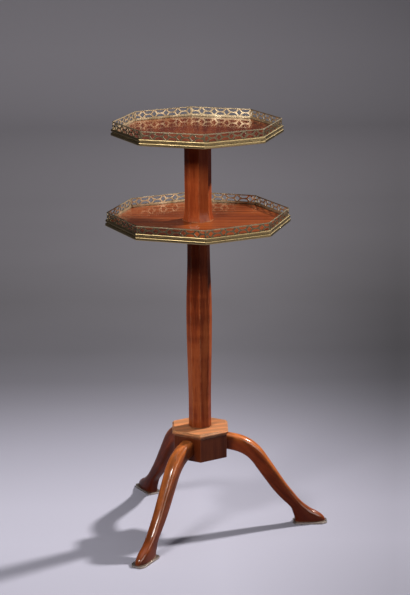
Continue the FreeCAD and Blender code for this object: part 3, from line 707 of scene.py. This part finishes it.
class TEATABLE_OT_finishes(Operator):
    """Mix the finishes: mahogany for each run of grain, brass, and steel"""
    bl_idname = "teatable.finishes"
    bl_label = "Finishes"

    def execute(self, context):
        finish = context.scene.tea_table.finish
        make_grain_group()
        make_wear_group()
        make_corner_group()
        make_patina_group()
        mahogany(
            "Mahogany, upper board", finish, turn=(0, 0, QUARTER), place=(0, 0.9, 0.3), gain=0.44, figure=0.6,
            contrast=1.2, coat=0.5)
        mahogany(
            "Mahogany, lower board", finish, place=(0.4, 0.2, 0.1), gain=0.62, pale=0.04, figure=0.8,
            contrast=1.1, coat=0.35)
        mahogany("Mahogany, bearers", finish, turn=(0, 0, 0.5), gain=0.5, figure=0.3, coat=0.2)
        mahogany(
            "Mahogany, upper stem", finish, turn=(0, QUARTER, 0), place=(0, 0.14, 0.3), gain=1.12, figure=0.2,
            contrast=1.3, coat=0.12, wear=0.005)
        mahogany(
            "Mahogany, lower stem", finish, turn=(0, QUARTER, 0), gain=0.9, figure=0.2, contrast=2.2,
            coat=0.12, wear=0.005)
        # The plate's moulded edge gets painted shade where it doesn't face up
        mahogany(
            "Mahogany, plate", finish, turn=(0, 0, 0.3), place=(0.1, 0.3, 0), gain=1.1, pale=0.42, figure=0.8,
            contrast=4, coat=0.4, wear=0.004, under=0.5, tint=finish.wood_rubbed_and_highlight)
        mahogany(
            "Mahogany, block", finish, turn=(0, QUARTER, 0), place=(0, 0.1, 0), gain=0.43, pale=0.02,
            figure=0.2, coat=0.25)
        # Painted shade over the legs' sides, less on the front leg, whose side faces the key lamp, and near the
        # floor
        for leg, turn in LEG_TURNS.items():
            mahogany(
                f"Mahogany, {leg}", finish, turn=(0, radians(46), radians(turn)),
                place=(0.3, 0.02 * turn, 0), gain=1.05, pale=0.22, contrast=4, coat=0.7, sheen=0.16,
                wear=0.004, under=0.68 if leg == "leg_front" else 0.95, feet=1)
        brass("Brass, galleries", finish, dirt=1, roughness=0.24, pale=0.25, outer=0.95, metal=0.9)
        brass("Brass, edging", finish, dull=0.9, roughness=0.12, outer=0.6)
        brass("Brass, pins", finish, dull=0.9, dirt=1)
        brass("Brass, soles", finish, dull=0.5, roughness=0.15, pale=0.85)
        blackened_steel("Steel, screws", finish)
        return {"FINISHED"}


class TEATABLE_OT_carried(Operator):
    """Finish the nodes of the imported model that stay: boards, wedge and sole pins"""
    bl_idname = "teatable.carried"
    bl_label = "Boards and hidden pieces"

    def execute(self, context):
        for node, finish in (
            ("upper_tray_board", "Mahogany, upper board"), ("lower_tray_board", "Mahogany, lower board"),
            ("stem_wedge", "Mahogany, plate"), ("foot_pad_pins", "Steel, screws"),
        ):
            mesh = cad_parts[node].data
            mesh.materials.clear()
            mesh.materials.append(bpy.data.materials[finish])
        return {"FINISHED"}


class TEATABLE_OT_bearers(Operator):
    """Shape the octagonal bearers under the trays"""
    bl_idname = "teatable.bearers"
    bl_label = "Bearers"

    def execute(self, context):
        trays = context.scene.tea_table.trays
        radius, bevel = trays.bearer_radius, trays.bearer_bevel
        for tray in TRAYS:
            foot = BEARER_FOOT[tray]
            rings = [(radius - bevel, foot), (radius, foot + bevel), (radius, TRAY_FOOT[tray])]
            add_stack(f"{tray}_bearer", "shaped", "Mahogany, bearers", "bearer_mahogany", TRAY_SIDES, rings,
                      trays.turn, width=0.0008)
        return {"FINISHED"}


class TEATABLE_OT_screws(Operator):
    """Cut the slotted screws of the bearers"""
    bl_idname = "teatable.screws"
    bl_label = "Bearer screws"

    def execute(self, context):
        trays = context.scene.tea_table.trays
        for tray in TRAYS:
            bm = bmesh.new()
            for number in range(4):
                spot = Matrix.Translation((trays.screw_circle, 0, BEARER_FOOT[tray]))
                slot_way = Matrix.Rotation(0.7 + number * 1.3, 4, "Z")
                self.cut_screw(bm, trays, about_column(trays.turn + number * QUARTER) @ spot @ slot_way)
            add_piece(bm, f"{tray}_bearer_screws", "slotted", "Steel, screws")
        return {"FINISHED"}

    def cut_screw(self, bm, trays, place):
        """A flat head with its face down, a slot across it, and the shank above."""
        radius, thick, depth = trays.screw_radius, trays.screw_head, trays.screw_slot
        half_slot = radius * 0.14
        head = list(bmesh.ops.create_circle(
            bm, cap_ends=True, segments=32, radius=radius, matrix=Matrix.Translation((0, 0, depth)))["verts"])
        for side in (-1, 1):
            cut = bmesh.ops.bisect_plane(
                bm, geom=[*head, *beside(head, "edges"), *beside(head, "faces")], dist=1e-7,
                plane_co=(0, side * half_slot, 0), plane_no=(0, 1, 0))
            head += only(VERT, cut["geom_cut"])
        faces = beside(head, "faces")
        back = grow(bm, faces, (0, 0, thick - depth))
        lands = [face for face in faces if abs(face.calc_center_median().y) > half_slot]
        front = grow(bm, lands, (0, 0, -depth))
        bmesh.ops.delete(bm, geom=lands, context="FACES_ONLY")
        shank = trays.screw_length - thick
        stalk = bmesh.ops.create_cone(
            bm, cap_ends=True, segments=16, radius1=radius / 2, radius2=radius / 2.6, depth=shank,
            matrix=Matrix.Translation((0, 0, thick + shank / 2)))["verts"]
        bmesh.ops.transform(bm, matrix=place, verts=[*head, *only(VERT, [*back, *front]), *stalk])


class TEATABLE_OT_edging(Operator):
    """Draw the moulded brass edging, eight mitred lengths to a tray"""
    bl_idname = "teatable.edging"
    bl_label = "Edging"

    def execute(self, context):
        trays = context.scene.tea_table.trays
        strip = context.scene.tea_table.gallery.thickness
        for tray in TRAYS:
            back = board_apothem(trays, tray)
            face = back + trays.edging_width
            bead = face - trays.setback
            deep = face - trays.groove * 1.6
            foot, top, board = TRAY_FOOT[tray], EDGING_TOP[tray], BOARD_TOP[tray]
            groove = foot + trays.band
            lip = groove + trays.groove
            section = [
                (back, foot), (face - trays.lean, foot), (face, groove), (deep, groove), (deep, lip),
                (bead, lip), (bead, top), (back + strip, top), (back + strip, board), (back, board),
            ]
            for number, place in side_places(trays):
                bm = bmesh.new()
                along_side(bm, section)
                ribs = [edge for edge in bm.edges if self.runs_outside(edge, face - 0.001)]
                soften(bm, trays.rib_rounding, segments=5, edges=ribs)
                bmesh.ops.transform(bm, matrix=place, verts=bm.verts)
                add_piece(bm, f"{tray}_edging_{number}", "moulded", "Brass, edging")
        return {"FINISHED"}

    def runs_outside(self, edge, least):
        """Whether an edge runs along the length, further out than the least distance."""
        start, end = (vert.co for vert in edge.verts)
        return abs(start.y - end.y) < 1e-6 and abs(start.z - end.z) < 1e-6 and start.y > least


class TEATABLE_OT_galleries(Operator):
    """Pierce the brass galleries with lozenges and half-moons"""
    bl_idname = "teatable.galleries"
    bl_label = "Galleries"

    SLIVER = 1.5e-6  # openings smaller than this, in square metres, are left closed

    def execute(self, context):
        trays = context.scene.tea_table.trays
        gallery = context.scene.tea_table.gallery
        for tray in TRAYS:
            repeats = getattr(gallery, f"{tray}_lozenges") / TRAY_SIDES
            lead = getattr(gallery, f"{tray}_lead")
            inner, height = board_apothem(trays, tray), GALLERY_TOP[tray] - BOARD_TOP[tray]
            for number, place in side_places(trays):
                bm = bmesh.new()
                self.pierce_strip(bm, gallery, inner, height, repeats, (lead + (number - 1) * repeats) % 1)
                stand = place @ Matrix.Translation((0, 0, BOARD_TOP[tray]))
                bmesh.ops.transform(bm, matrix=stand, verts=bm.verts)
                add_piece(bm, f"{tray}_gallery_side_{number}", "pierced", "Brass, galleries")
        return {"FINISHED"}

    def pierce_strip(self, bm, gallery, inner, height, repeats, first):
        """One side, first flat with X along it and Y up, then thickened and stood up across +Y."""
        half = inner * tan(HALF_CORNER)
        repeat = 2 * half / repeats
        for number in range(-1, ceil(repeats) + 1):
            self.draw_openings(bm, gallery, -half + (first + number) * repeat, repeat, height)
        for side in (-1, 1):
            bmesh.ops.bisect_plane(
                bm, geom=[*bm.verts, *bm.edges, *bm.faces], dist=1e-7, clear_outer=True,
                plane_co=(side * (half - gallery.post), 0, 0), plane_no=(side, 0, 0))
        slivers = [face for face in bm.faces if face.calc_area() < self.SLIVER]
        bmesh.ops.delete(bm, geom=slivers, context="FACES")
        bmesh.ops.delete(bm, geom=list(bm.faces), context="FACES_ONLY")
        outline = (-half, 0), (half, 0), (half, height), (-half, height)
        corners = [bm.verts.new((x, y, 0)) for x, y in outline]
        for start, end in zip(corners, corners[1:] + corners[:1]):
            bm.edges.new((start, end))
        bmesh.ops.triangle_fill(bm, use_beauty=True, edges=bm.edges, normal=(0, 0, 1))
        grow(bm, list(bm.faces), (0, 0, gallery.thickness))
        bmesh.ops.recalc_face_normals(bm, faces=bm.faces)
        soften(bm, gallery.arris, segments=2, least=60)
        end = Matrix.Translation((-half, height - gallery.bead, gallery.thickness / 2))
        end = end @ Matrix.Rotation(QUARTER, 4, "Y")
        bead = bmesh.ops.create_circle(bm, cap_ends=True, segments=14, radius=gallery.bead, matrix=end)
        grow(bm, list(bead["verts"][0].link_faces), (2 * half, 0, 0))
        stand = Matrix(((1, 0, 0, 0), (0, 0, 1, inner), (0, 1, 0, 0), (0, 0, 0, 1)))
        bmesh.ops.transform(bm, matrix=stand, verts=bm.verts)
        for vert in bm.verts:
            if abs(vert.co.x) > half - gallery.post / 2:
                vert.co.x *= vert.co.y / inner

    def draw_openings(self, bm, gallery, middle, repeat, height):
        """A lozenge, and to its right a half-moon on each rail."""
        low, high = gallery.foot_rail, height - gallery.top_rail
        lozenge = bmesh.ops.create_circle(bm, cap_ends=True, segments=4, radius=1)["verts"]
        bmesh.ops.scale(bm, vec=(repeat * gallery.lozenge, (high - low) / 2 - gallery.land, 1), verts=lozenge)
        bmesh.ops.translate(bm, vec=(middle, (low + high) / 2, 0), verts=lozenge)
        for rail, way in ((low, 1), (high, -1)):
            moon = bmesh.ops.create_circle(bm, cap_ends=True, segments=28, radius=1)["verts"]
            kept = bmesh.ops.bisect_plane(
                bm, geom=[*moon, *beside(moon, "edges"), *moon[0].link_faces], dist=1e-5, plane_co=(0, 0, 0),
                plane_no=(0, -way, 0), clear_outer=True)
            moon = only(VERT, kept["geom"])
            bmesh.ops.scale(bm, vec=(repeat * gallery.moon, (high - low - gallery.bar) / 2, 1), verts=moon)
            bmesh.ops.translate(bm, vec=(middle + repeat / 2, rail, 0), verts=moon)


class TEATABLE_OT_pins(Operator):
    """Set a small domed pin in the middle of each length of edging"""
    bl_idname = "teatable.pins"
    bl_label = "Edging pins"

    # From its point in the board to its head: radius, and height above the edging's face
    PROFILE = [(0.0009, -0.0115), (0.0009, -0.0002), (0.0011, -0.0002), (0.0011, 0.0), (0.0008, 0.00022),
               (0.0003, 0.0003)]

    def execute(self, context):
        trays = context.scene.tea_table.trays
        for tray in TRAYS:
            bm = bmesh.new()
            face = board_apothem(trays, tray) + trays.edging_width
            spot = Matrix.Translation((0, face, TRAY_FOOT[tray] + trays.pin_level))
            for _, place in side_places(trays):
                ring_stack(bm, 14, self.PROFILE, place @ spot @ Matrix.Rotation(-QUARTER, 4, "X"))
            add_piece(bm, f"{tray}_edging_pins", "domed", "Brass, pins", flat=False)
        return {"FINISHED"}


def smooth_row(rows, steps):
    """Rows of values with more between them, on the curve that passes through them all."""
    fair = []
    last = len(rows) - 1
    for number in range(last):
        a, b = rows[max(number - 1, 0)], rows[number]
        c, d = rows[number + 1], rows[min(number + 2, last)]
        for step in range(steps):
            t = step / steps
            fair.append(tuple(
                0.5 * (2 * q + (r - p) * t + (2 * p - 5 * q + 4 * r - s) * t ** 2
                       + (3 * q - p - 3 * r + s) * t ** 3)
                for p, q, r, s in zip(a, b, c, d)))
    return fair + [tuple(rows[last])]


class TEATABLE_OT_stem(Operator):
    """Shape the two lengths of the eight-sided stem"""
    bl_idname = "teatable.stem"
    bl_label = "Stem"

    # Lower stem from its foot: share of the way up, share of its fullest radius
    SWELL = [(0, 0.89), (0.16, 0.885), (0.30, 0.93), (0.44, 0.98), (0.58, 1), (0.69, 0.97), (0.80, 0.905),
             (0.90, 0.875), (1, 0.87)]
    FLARE_STEPS = 12
    FLARE_CURVE = 2.3

    def execute(self, context):
        stem = context.scene.tea_table.stem
        foot, rise = BOARD_TOP["lower"], BEARER_FOOT["lower"] - CAP_TOP
        upper = [(stem.foot_radius, foot - stem.sunk)]
        for step in range(self.FLARE_STEPS + 1):
            up = step / self.FLARE_STEPS
            spread = (stem.foot_radius - stem.upper_radius) * (1 - up) ** self.FLARE_CURVE
            upper.append((stem.upper_radius + spread, foot + stem.flare * up))
        upper.append((stem.upper_radius, BEARER_FOOT["upper"]))
        lower = smooth_row([(stem.lower_radius * full, CAP_TOP + rise * up) for up, full in self.SWELL], 4)
        for part, rings in (("upper", upper), ("lower", lower)):
            add_stack(f"{part}_stem", "shaped", f"Mahogany, {part} stem", "stem_mahogany", TRAY_SIDES, rings,
                      context.scene.tea_table.trays.turn, width=stem.arris)
        return {"FINISHED"}


class TEATABLE_OT_base(Operator):
    """Mould the cap plate and dress the hexagonal block"""
    bl_idname = "teatable.base"
    bl_label = "Plate and block"

    # Edge of the plate from its underside: share of the way up, metres past the plate's radius
    MOULDING = [(0, -0.0038), (0.22, -0.0034), (0.34, -0.0020), (0.40, 0), (0.62, 0), (0.72, -0.0008),
                (0.80, -0.0024), (0.80, -0.0032), (1, -0.0038)]

    def execute(self, context):
        base = context.scene.tea_table.base
        plate = [(base.cap_radius + out, CAP_FOOT + (CAP_TOP - CAP_FOOT) * up) for up, out in self.MOULDING]
        add_stack("cap_plate", "moulded", "Mahogany, plate", "base_mahogany", BASE_SIDES, plate, 0,
                  width=0.0005, segments=2, least=30)
        block = [(base.block_radius, BLOCK_FOOT), (base.block_radius, CAP_FOOT)]
        add_stack("base_block", "dressed", "Mahogany, block", "base_mahogany", BASE_SIDES, block, 0,
                  width=0.0012)
        return {"FINISHED"}


class TEATABLE_OT_legs(Operator):
    """Carve the three cabriole legs with their slipper feet"""
    bl_idname = "teatable.legs"
    bl_label = "Legs"

    # From inside the block outwards: tilt in degrees, share of the way out to the toe, share of the root's
    # height, share of the leg's depth, share of its width
    SHANK = [
        (0, -0.03, 1, 1, 1), (0, 0, 1, 1, 1), (14, 0.128, 0.965, 1.0, 1.0), (28, 0.225, 0.907, 0.985, 0.985),
        (42, 0.303, 0.822, 0.957, 0.95), (48, 0.372, 0.706, 0.94, 0.915), (52, 0.446, 0.579, 0.914, 0.88),
        (52, 0.528, 0.440, 0.871, 0.835), (54, 0.610, 0.322, 0.800, 0.79),
    ]
    # From the ankle down: tilt, share of the foot's height, shares of its length at heel and toe, share of
    # the width, share by which the toe is narrower
    FOOT = [
        (68, 1.0, -0.150, 0.250, 0.775, 0.05), (79, 0.62, -0.065, 0.530, 0.80, 0.15),
        (83, 0.45, -0.03, 0.73, 0.825, 0.22), (86, 0.27, -0.008, 0.90, 0.855, 0.3),
        (88, 0.11, 0.0, 0.98, 0.875, 0.34), (90, 0.0, 0.0, 1.0, FOOT_WIDTH, 0.36),
    ]
    ROUNDING = 0.62  # 1 makes a section an ellipse, and 0 a box

    def execute(self, context):
        base = context.scene.tea_table.base
        face = base.block_radius * cos(pi / BASE_SIDES)
        root = CAP_FOOT - base.leg_drop
        rows = []
        for tilt, out, up, depth, width in self.SHANK:
            rows.append((
                tilt, face + (TOE - face) * out, SOLE_TOP + (root - SOLE_TOP) * up, base.leg_depth * depth,
                base.leg_width * width, 0))
        for tilt, up, heel, toe, width, narrower in self.FOOT:
            rows.append((
                tilt, TOE - base.foot_length * (1 - (heel + toe) / 2), SOLE_TOP + base.foot_height * up,
                base.foot_length * (toe - heel), base.leg_width * width, narrower))
        for leg, turn in LEG_TURNS.items():
            bm = bmesh.new()
            crease = bm.edges.layers.float.new("crease_edge")
            rings = [self.ring(bm, *row) for row in smooth_row(rows, 3)]
            for lower, upper in zip(rings, rings[1:]):
                bmesh.ops.bridge_loops(bm, edges=[*lower, *upper])
            for rim in (rings[0], rings[-1]):
                bmesh.ops.contextual_create(bm, geom=rim)
            for edge in rings[-1]:
                edge[crease] = 1
            bmesh.ops.transform(bm, matrix=about_column(radians(turn)), verts=bm.verts)
            piece = add_piece(bm, leg, "carved", f"Mahogany, {leg}", flat=False)
            smoothing = piece.modifiers.new("Carved smooth", "SUBSURF")
            smoothing.levels = smoothing.render_levels = 2
        return {"FINISHED"}

    def ring(self, bm, tilt, out, up, depth, width, narrower):
        """A section with round arrises, square to the leg's own line. Returns its edges."""
        made = bmesh.ops.create_circle(bm, segments=20, radius=1)["verts"]
        lean = radians(tilt)
        for vert in made:
            across = copysign(abs(vert.co.x) ** self.ROUNDING, vert.co.x) * width / 2
            rise = copysign(abs(vert.co.y) ** self.ROUNDING, vert.co.y) * depth / 2
            across *= 1 - narrower * max(rise / depth * 2, 0) ** 2
            vert.co = (out + sin(lean) * rise, across, up + cos(lean) * rise)
        return beside(made, "edges")


class TEATABLE_OT_soles(Operator):
    """Cut the brass plates under the feet"""
    bl_idname = "teatable.soles"
    bl_label = "Sole plates"

    # From heel to toe: share of the plate's length, half its width as a share of the widest
    PLAN = [(0, 0.34), (0.07, 0.5), (0.87, 0.5), (1, 0.31)]

    def execute(self, context):
        base = context.scene.tea_table.base
        long = base.foot_length + 2 * base.sole_margin
        wide = base.leg_width * FOOT_WIDTH + 2 * base.sole_margin
        heel = TOE - base.foot_length - base.sole_margin
        outline = [(heel + long * along, -wide * across) for along, across in self.PLAN]
        outline += [(x, -y) for x, y in reversed(outline)]
        for leg, turn in LEG_TURNS.items():
            bm = bmesh.new()
            plate = bm.faces.new([bm.verts.new((x, y, 0)) for x, y in outline])
            grow(bm, [plate], (0, 0, SOLE_TOP))
            upright = [
                edge for edge in bm.edges if abs(edge.verts[0].co.z - edge.verts[1].co.z) > SOLE_TOP / 2]
            soften(bm, 0.0015, edges=upright)
            soften(bm, 0.0006, segments=2, least=50)
            bmesh.ops.transform(bm, matrix=about_column(radians(turn)), verts=bm.verts)
            add_piece(bm, leg.replace("leg", "foot_pad"), "plate", "Brass, soles")
        return {"FINISHED"}


class TEATABLE_PT_panel(Panel):
    """Lists the steps that dress the tea table"""
    bl_idname = "TEATABLE_PT_panel"
    bl_label = "Tea Table"
    bl_space_type = "VIEW_3D"
    bl_region_type = "UI"
    bl_category = "Tea Table"

    def draw(self, context):
        for step in STEPS:
            self.layout.operator(step.bl_idname)


STEPS = (
    TEATABLE_OT_camera, TEATABLE_OT_stage, TEATABLE_OT_finishes, TEATABLE_OT_carried, TEATABLE_OT_bearers,
    TEATABLE_OT_screws, TEATABLE_OT_edging, TEATABLE_OT_galleries, TEATABLE_OT_pins, TEATABLE_OT_stem,
    TEATABLE_OT_base, TEATABLE_OT_legs, TEATABLE_OT_soles,
)
CLASSES = (
    TrayProps, GalleryProps, StemProps, BaseProps, FinishProps, StudioProps, TeaTableProps,
    *STEPS, TEATABLE_PT_panel,
)


def register():
    for item in CLASSES:
        bpy.utils.register_class(item)
    bpy.types.Scene.tea_table = PointerProperty(type=TeaTableProps)


def unregister():
    del bpy.types.Scene.tea_table
    for item in reversed(CLASSES):
        bpy.utils.unregister_class(item)


def main():
    register()
    for step in STEPS:
        group, name = step.bl_idname.split(".")
        getattr(getattr(bpy.ops, group), name)()


if __name__ == "__main__":
    main()
